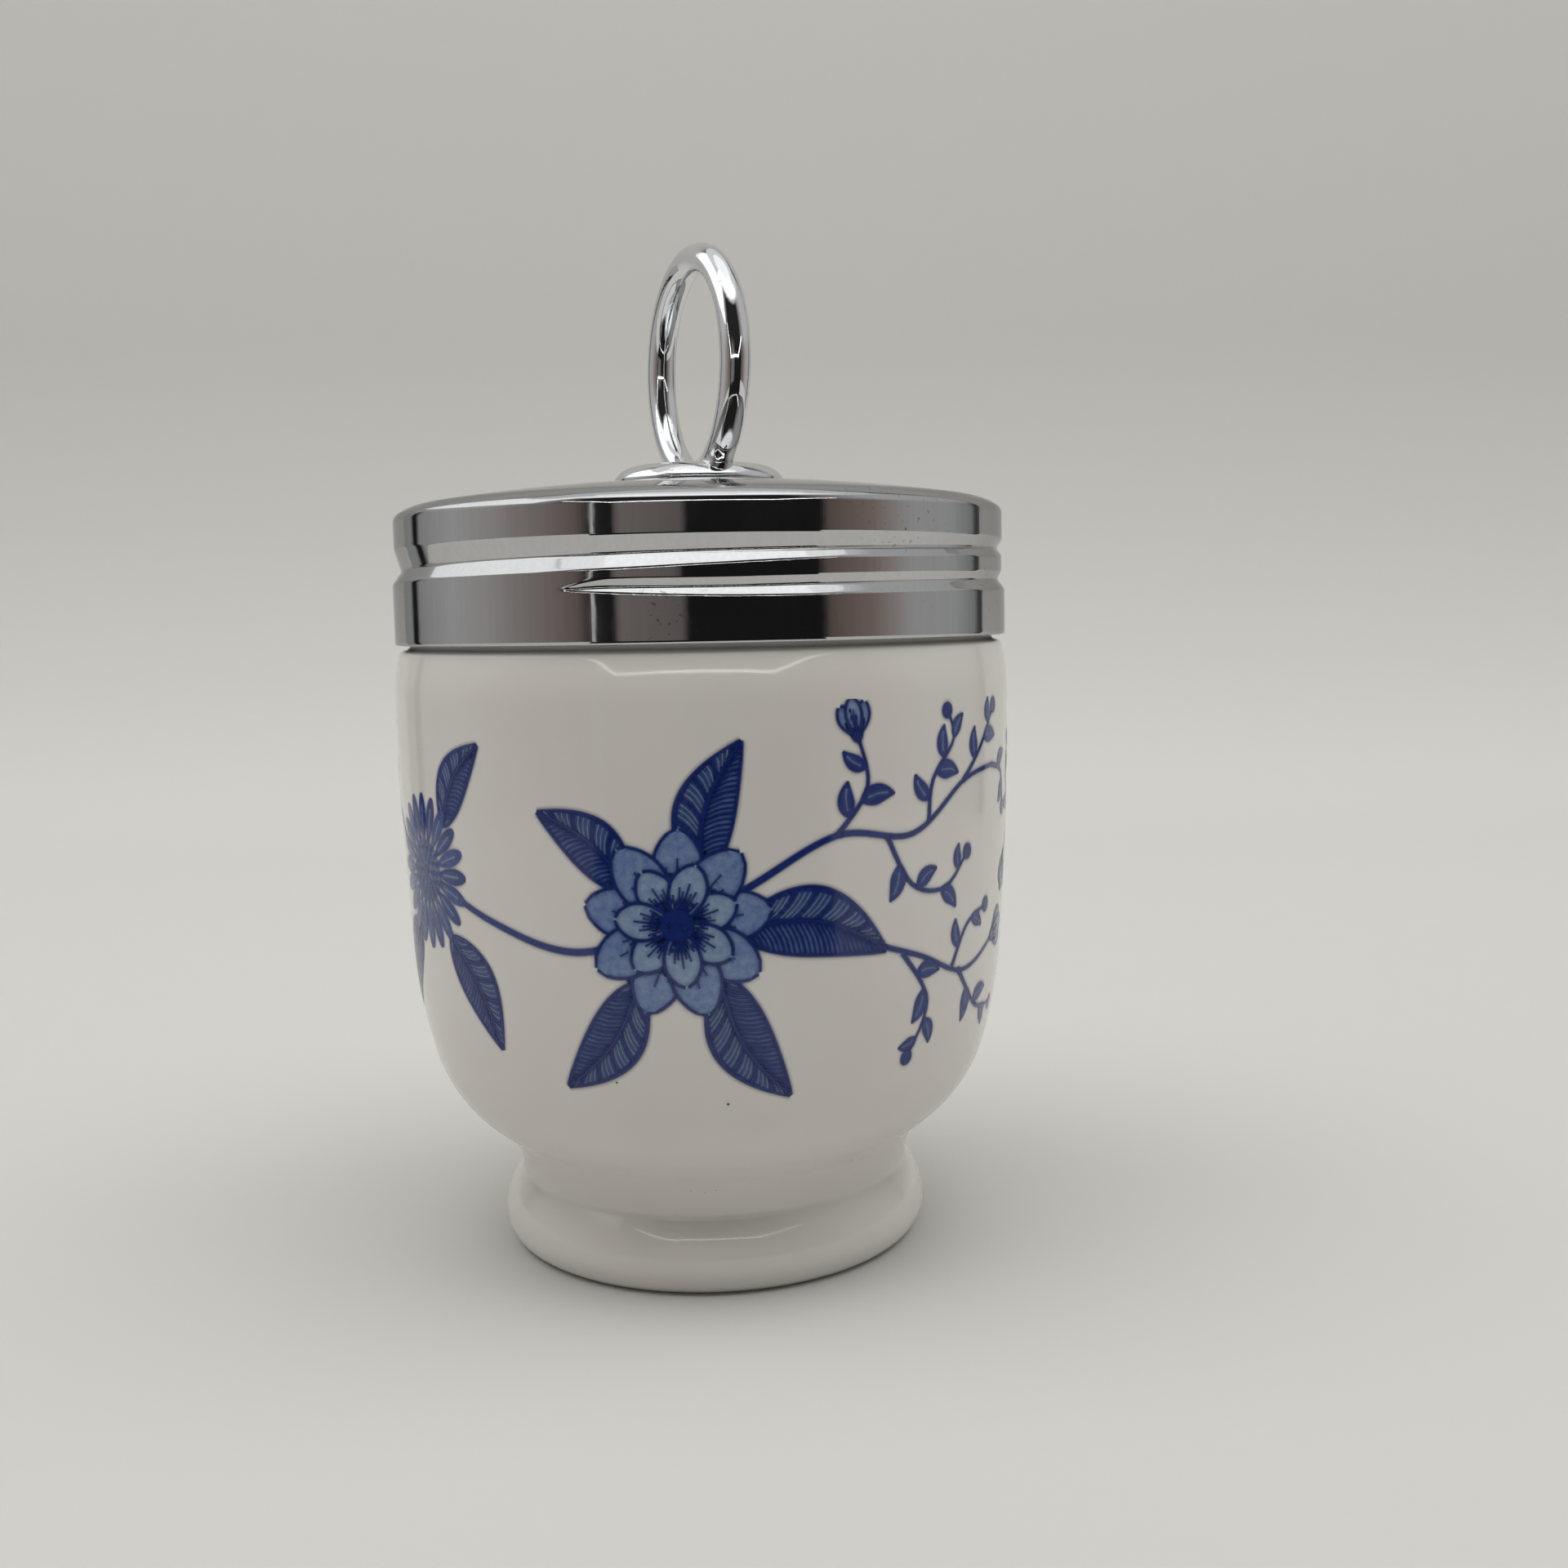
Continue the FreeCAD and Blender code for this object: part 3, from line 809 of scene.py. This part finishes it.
def lid_mesh():
    """Outside, the hole's edge and the inside, closed at the lower edge."""
    angles = np.arange(LID_SEGMENTS) * 360.0 / LID_SEGMENTS - 180.0
    outside = lid_surface(0.0, angles, OUTSIDE_STEP)
    inside = lid_surface(WALL, angles, INSIDE_STEP)[::-1]
    hole_z = np.array([[outside[-1, 0, 2]], [inside[0, 0, 2]]])
    hole = turned_round(np.full((2, 1), HOLE_R), hole_z, angles)
    return grid_mesh("lid_shell", np.concatenate([outside, hole, inside, outside[:1]], 0))


piece("lid_shell", tidy_mesh(lid_mesh()), "lid", "lid_chrome", lid_chrome, "lid")


# ---------------------------------------------------------------- ring and flange

RING_WIRE = 2.9
RING_R = 10.4
RING_TURN = 20.5
FLANGE_R, FLANGE_EDGE_H = 8.4, 0.45
FLANGE_HEADING, FLANGE_SIDE = 112, ((2.0, 30.0), (2.8, 38.0), (0.9, 28.0), (0.9, -28.0))
SEAT_Z = crown_rows(0.0, 0.5)[-1][1]
RING_SUNK = 0.45                # by how much the wire runs into the flange
RING_Z = SEAT_Z + RING_R + RING_WIRE / 2 - RING_SUNK
RING_LOWEST_Z = SEAT_Z + 0.4    # inside the flange
FLARE, FLARE_Z, FLARE_DROP = 0.9, SEAT_Z + 1.6, 0.25    # size, lower end and upright share
RING_SEGMENTS, WIRE_SEGMENTS = 256, 48
SHANK_R, SHANK_SUNK, HEAD_R, HEAD_H = 2.0, 0.5, 3.2, 0.8


def flange_outline():
    """Flange under the ring: a domed side that faces up, a rounded lip and a dished top."""
    side = flat(along((FLANGE_R, SEAT_Z + FLANGE_EDGE_H), FLANGE_HEADING, FLANGE_SIDE, 0.2))
    foot = [(0.0, SEAT_Z), (FLANGE_R - 0.35, SEAT_Z), (FLANGE_R - 0.08, SEAT_Z + 0.1)]
    return foot + side + [(0.0, side[-1][1])]


def ring_mesh():
    """Torus standing on the flange, its wire flaring where it meets the flange."""
    u = np.arange(RING_SEGMENTS) * 2 * math.pi / RING_SEGMENTS
    v = np.arange(WIRE_SEGMENTS) * 2 * math.pi / WIRE_SEGMENTS
    uu, vv = np.meshgrid(u, v, indexing="ij")
    normal = np.stack([np.sin(vv), np.cos(vv) * np.sin(uu), np.cos(vv) * np.cos(uu)], -1)
    centre = np.stack([np.zeros_like(uu), RING_R * np.sin(uu), RING_R * np.cos(uu)], -1)
    p = centre + normal * RING_WIRE / 2
    t = np.clip(1 - (p[..., 2] + RING_Z - FLARE_Z) / FLARE, 0, 1)
    flare = FLARE * (1 - np.sqrt(np.clip(1 - t * t, 0, 1)))
    p = p + normal * (1.0, 1.0, FLARE_DROP) * flare[..., None]
    a = math.radians(RING_TURN)
    x = p[..., 0] * math.cos(a) - p[..., 1] * math.sin(a)
    y = p[..., 0] * math.sin(a) + p[..., 1] * math.cos(a)
    z = np.maximum(p[..., 2] + RING_Z, RING_LOWEST_Z)
    points = np.stack([x, y, z], -1)
    return grid_mesh("ring_wire", np.concatenate([points, points[:1]], 0))


def shank_outline():
    """Rivet shank under the flange, with its domed head below the washer."""
    head_z, washer_z = (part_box(node)[0].z / MM for node in ("lifting_ring", "crown_washer"))
    top = SEAT_Z + SHANK_SUNK
    dome = [(0.0, head_z)]
    for a in np.radians(range(9, 91, 9)):
        dome.append((HEAD_R * math.sin(a), washer_z - HEAD_H * math.cos(a)))
    return dome + [(HEAD_R, washer_z), (SHANK_R, washer_z), (SHANK_R, top), (0.0, top)]


flange_mesh = revolved("ring_flange", flange_outline(), 160)
shank_mesh = revolved("ring_shank", shank_outline(), 64)
for name, mesh in (("ring_wire", ring_mesh()), ("ring_flange", flange_mesh),
                   ("ring_shank", shank_mesh)):
    piece(name, tidy_mesh(mesh), "lid", "ring_chrome", ring_chrome, "lifting_ring")

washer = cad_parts["crown_washer"].data
washer.materials.clear()
washer.materials.append(chrome_material("washer_plain_metal", WASHER_TINT))


# ---------------------------------------------------------------- camera

# Solved from the round edges of the lid and the foot as the photograph shows them
DISTANCE, HEIGHT = 0.1634, 0.06186
FOCAL_PX, FRAME_PX, SENSOR = 1987.0, 1920.0, 36.0
YAW, PITCH_DOWN, ROLL = (math.radians(a) for a in (2.757, 5.966, -1.102))
forward = Vector((math.sin(YAW) * math.cos(PITCH_DOWN), math.cos(YAW) * math.cos(PITCH_DOWN),
                  -math.sin(PITCH_DOWN)))
right = forward.cross(Vector((0, 0, 1))).normalized()
up = right.cross(forward)
cam_right = right * math.cos(ROLL) + up * math.sin(ROLL)
cam_up = up * math.cos(ROLL) - right * math.sin(ROLL)
camera_data = bpy.data.cameras.new("camera")
camera_data.sensor_width = SENSOR
camera_data.lens = SENSOR * FOCAL_PX / FRAME_PX
camera_data.clip_start = 0.005
camera_data.clip_end = 20.0
camera = linked("camera", camera_data)
camera.matrix_world = Matrix((
    (cam_right.x, cam_up.x, -forward.x, 0.0),
    (cam_right.y, cam_up.y, -forward.y, -DISTANCE),
    (cam_right.z, cam_up.z, -forward.z, HEIGHT),
    (0, 0, 0, 1),
))
bpy.context.scene.camera = camera


# ---------------------------------------------------------------- stage and light

PAPER, PAPER_ROUGHNESS = (0.62, 0.612, 0.592), 0.9
# Painted light and painted shade on the paper, as shares of its colour: lighter far back on the
# floor, darker up the wall
FLOOR_PAINTED_LIGHT = ((0.0, 1.0), (1.0, 1.13))
WALL_PAINTED_SHADE = ((0.0, 1.0), (0.13, 0.93), (0.33, 0.86), (0.55, 0.825), (1.0, 0.82))


def surround_material():
    m = Nodes("floor_paper_surround")
    m.set(m.shader, Base_Color=PAPER + (1,), Roughness=PAPER_ROUGHNESS)
    return m.material


def floor_material():
    """Paper with painted light and shade: painted a little lighter far back on the floor and
    painted a little darker up the wall.
    """
    m = Nodes("floor_paper")
    parts = m.parts(m.coords())
    # painted light: the floor's paper lighter far back
    paper = m.ramp(m.share(parts["Y"], 0.04, 0.30),
                   [(at, tuple(level * c for c in PAPER)) for at, level in FLOOR_PAINTED_LIGHT])
    # painted shade: the wall's paper darker higher up
    wall = m.grey_ramp(m.share(parts["Z"], 0.012, 0.260), *WALL_PAINTED_SHADE)
    m.feed(m.mix(1.0, paper, wall, "MULTIPLY"), "Base Color")
    m.set(m.shader, Roughness=PAPER_ROUGHNESS)
    return m.material


def glow_material(name, colour, strength):
    m = Nodes(name)
    m.shine(colour, strength)
    return m.material


def stage_mesh(name, verts, faces, material, smooth=False):
    mesh = bpy.data.meshes.new(name)
    mesh.from_pydata(verts, [], faces)
    for p in mesh.polygons:
        p.use_smooth = smooth
    mesh.materials.append(material)
    obj = linked(name, mesh)
    return obj


def ribbon(name, pairs, material, smooth=False):
    """Strip of faces between pairs of points."""
    faces = [(2 * i, 2 * i + 1, 2 * i + 3, 2 * i + 2) for i in range(len(pairs) - 1)]
    return stage_mesh(name, [p for pair in pairs for p in pair], faces, material, smooth)


def quarter_bend(at, radius, steps):
    """Points of the curve from the floor, where it begins at a distance, to an upright wall."""
    angles = [math.radians(90 * i / steps) for i in range(1, steps + 1)]
    return [(at + radius * math.sin(a), radius * (1 - math.cos(a))) for a in angles]


def sweep():
    """Floor that curves up into the wall behind."""
    half, back, front, bend, top = 1.2, 0.42, -1.2, 0.16, 1.1
    path = [(front, 0.0), (0.0, 0.0), (back - bend, 0.0)]
    path += quarter_bend(back - bend, bend, 16) + [(back, top)]
    pairs = [((-half, y, z), (half, y, z)) for y, z in path]
    ribbon("floor_sweep", pairs, floor_material(), True)


def surround():
    """Pale wall round the front and sides, so that the other views have the same plain ground."""
    outer, bend, top, n = 1.15, 0.2, 0.9, 72
    path = [(outer - bend, 0.0)] + quarter_bend(outer - bend, bend, 6) + [(outer, top)]
    rows = len(path)
    verts, faces = [], []
    for i in range(n + 1):
        a = math.radians(-112 + 224 * i / n)
        verts += [(r * math.sin(a), -r * math.cos(a), z) for r, z in path]
    for i in range(n):
        for j in range(rows - 1):
            k = i * rows + j
            faces.append((k, k + 1, k + rows + 1, k + rows))
    stage_mesh("floor_surround", verts, faces, surround_material(), True)


sweep()
surround()


def area(name, location, target, size_x, size_y, power, colour):
    """Rectangular light that the metal doesn't mirror."""
    data = bpy.data.lights.new(name, "AREA")
    data.shape = "RECTANGLE"
    data.size, data.size_y = size_x, size_y
    data.energy = power
    data.color = colour
    obj = linked(name, data)
    obj.visible_glossy = False
    obj.location = location
    direction = Vector(target) - Vector(location)
    obj.rotation_mode = "QUATERNION"
    obj.rotation_quaternion = direction.to_track_quat("-Z", "Y")


area("light_top", (0.0, -0.10, 0.72), (0, 0, 0), 1.25, 0.58, 5.95, (1.0, 0.992, 0.975))
for name, x in (("light_side_left", -0.62), ("light_side_right", 0.62)):
    area(name, (x, 0.12, 0.34), (0, 0, 0.01), 0.5, 0.4, 0.42, (1.0, 0.995, 0.985))

world = bpy.data.worlds.new("world")
bpy.context.scene.world = world
world.use_nodes = True
background = world.node_tree.nodes["Background"]
background.inputs["Color"].default_value = (0.60, 0.59, 0.57, 1)
background.inputs["Strength"].default_value = 0.22


def mirrored(name, pairs, material):
    """Ribbon that shows only in reflections: it neither lights nor hides anything."""
    obj = ribbon(name, pairs, material)
    obj.visible_camera = False
    obj.visible_diffuse = False
    obj.visible_shadow = False
    obj.visible_transmission = False


def round_the_object(azimuth, radius, z):
    """Azimuth 0 is towards the camera, positive to the right."""
    a = math.radians(azimuth)
    return (radius * math.sin(a), -radius * math.cos(a), z)


def screen(name, azimuths, inner, outer, material):
    """Strip round the object between two circles, each a (radius, height)."""
    span = azimuths[1] - azimuths[0]
    n = max(1, int(span / 4))
    steps = [azimuths[0] + span * i / n for i in range(n + 1)]
    pairs = [(round_the_object(a, *inner), round_the_object(a, *outer)) for a in steps]
    mirrored(name, pairs, material)


def glow(level):
    return glow_material("glow_%d" % round(1000 * level), (1.0, 1.0, 1.0), level)


# What the metal mirrors, from the left round the front to the right, as azimuth, level and
# warmth: at the object's own height and above it
AROUND = ((-134, 0.36, 0), (-125.5, 0.37, 0), (-124.5, 0.015, 0), (-120.5, 0.015, 0),
          (-118.5, 0.35, 0.1), (-96, 0.44, 0.1), (-77, 0.38, 0.4), (-66, 0.30, 0.7),
          (-49, 0.21, 1.1), (-42, 0.16, 1.5), (-37.5, 0.03, 0.5), (-29.5, 0.012, 0),
          (-27.5, 0.20, 0.9), (-6.5, 0.15, 0.8), (-4.2, 0.012, 0), (41, 0.012, 0),
          (44, 0.13, 1.5), (61, 0.24, 1.6), (78, 0.40, 0.2), (100, 0.41, 0),
          (114.5, 0.27, 0), (117.5, 0.05, 0), (121, 0.11, 0))
ABOVE = ((-134, 0.50, 0), (-78, 0.52, 0), (-56, 0.30, 0.6), (-46, 0.02, 0), (36, 0.02, 0),
         (48, 0.25, 0.6), (70, 0.50, 0), (121, 0.50, 0))
CEILING = (0.72, 0.73, 0.74)


def toned(level, warmth):
    return (level, level * (1 - 0.145 * warmth), level * (1 - 0.20 * warmth))


def surroundings_material():
    """Light whose colour depends on the direction round the object and on the height."""
    m = Nodes("mirror_surroundings")
    parts = m.parts(m.coords())
    azimuth = m.math("ARCTAN2", parts["X"], m.math("MULTIPLY", parts["Y"], -1.0))
    share = m.share(azimuth, -math.pi, math.pi)
    around, above = (m.ramp(share, [((a + 180) / 360, toned(*tone)) for a, *tone in stops])
                     for stops in (AROUND, ABOVE))
    colour = m.mix(m.share(parts["Z"], 0.12, 0.20, "SMOOTHSTEP"), around, above)
    colour = m.mix(m.share(parts["Z"], 0.43, 0.50, "SMOOTHSTEP"), colour, CEILING)
    m.shine(colour)
    return m.material


SCREEN_R, SCREEN_Z, CENTRE_R = 0.30, 0.50, 0.0001
FULL_CIRCLE = (-180, 180)
screen("mirror_surroundings", (AROUND[0][0], AROUND[-1][0]), (SCREEN_R, 0.0),
       (SCREEN_R, SCREEN_Z), surroundings_material())
screen("mirror_left_light", (-37.0, -35.8), (0.294, 0.0), (0.294, 0.16), glow(0.65))
screen("mirror_ceiling", FULL_CIRCLE, (CENTRE_R, 0.56), (SCREEN_R, SCREEN_Z),
       glow_material("mirror_ceiling", CEILING, 1.0))
screen("mirror_middle_light", FULL_CIRCLE, (CENTRE_R, 0.553), (0.17, 0.518), glow(1.15))
for name, low, high, level in (("a", -84, -62, 1.3), ("b", -62, 64, 1.5), ("c", 64, 82, 1.2)):
    screen("mirror_front_light_" + name, (low, high), (0.10, 0.527), (0.29, 0.497), glow(level))
screen("mirror_left_high", (-133, -62), (0.296, 0.21), (0.296, 0.496), glow(1.3))
screen("mirror_front_floor", (-38, 42), (0.125, 0.001), (0.298, 0.001), glow(0.012))

# Narrow bright line in front of the object, as (x, z)
EDGE_Y, EDGE_THICK = -0.154, 0.0032
EDGE_LINE = ((-0.190, 0.205), (-0.084, 0.096), (0.065, 0.094), (0.180, 0.170))
mirrored("mirror_front_edge", [((x, EDGE_Y, z), (x, EDGE_Y, z + EDGE_THICK)) for x, z in EDGE_LINE],
         glow(9.0))

scene = bpy.context.scene
scene.view_settings.view_transform = "Standard"
scene.view_settings.look = "None"
scene.view_settings.exposure = 0.0
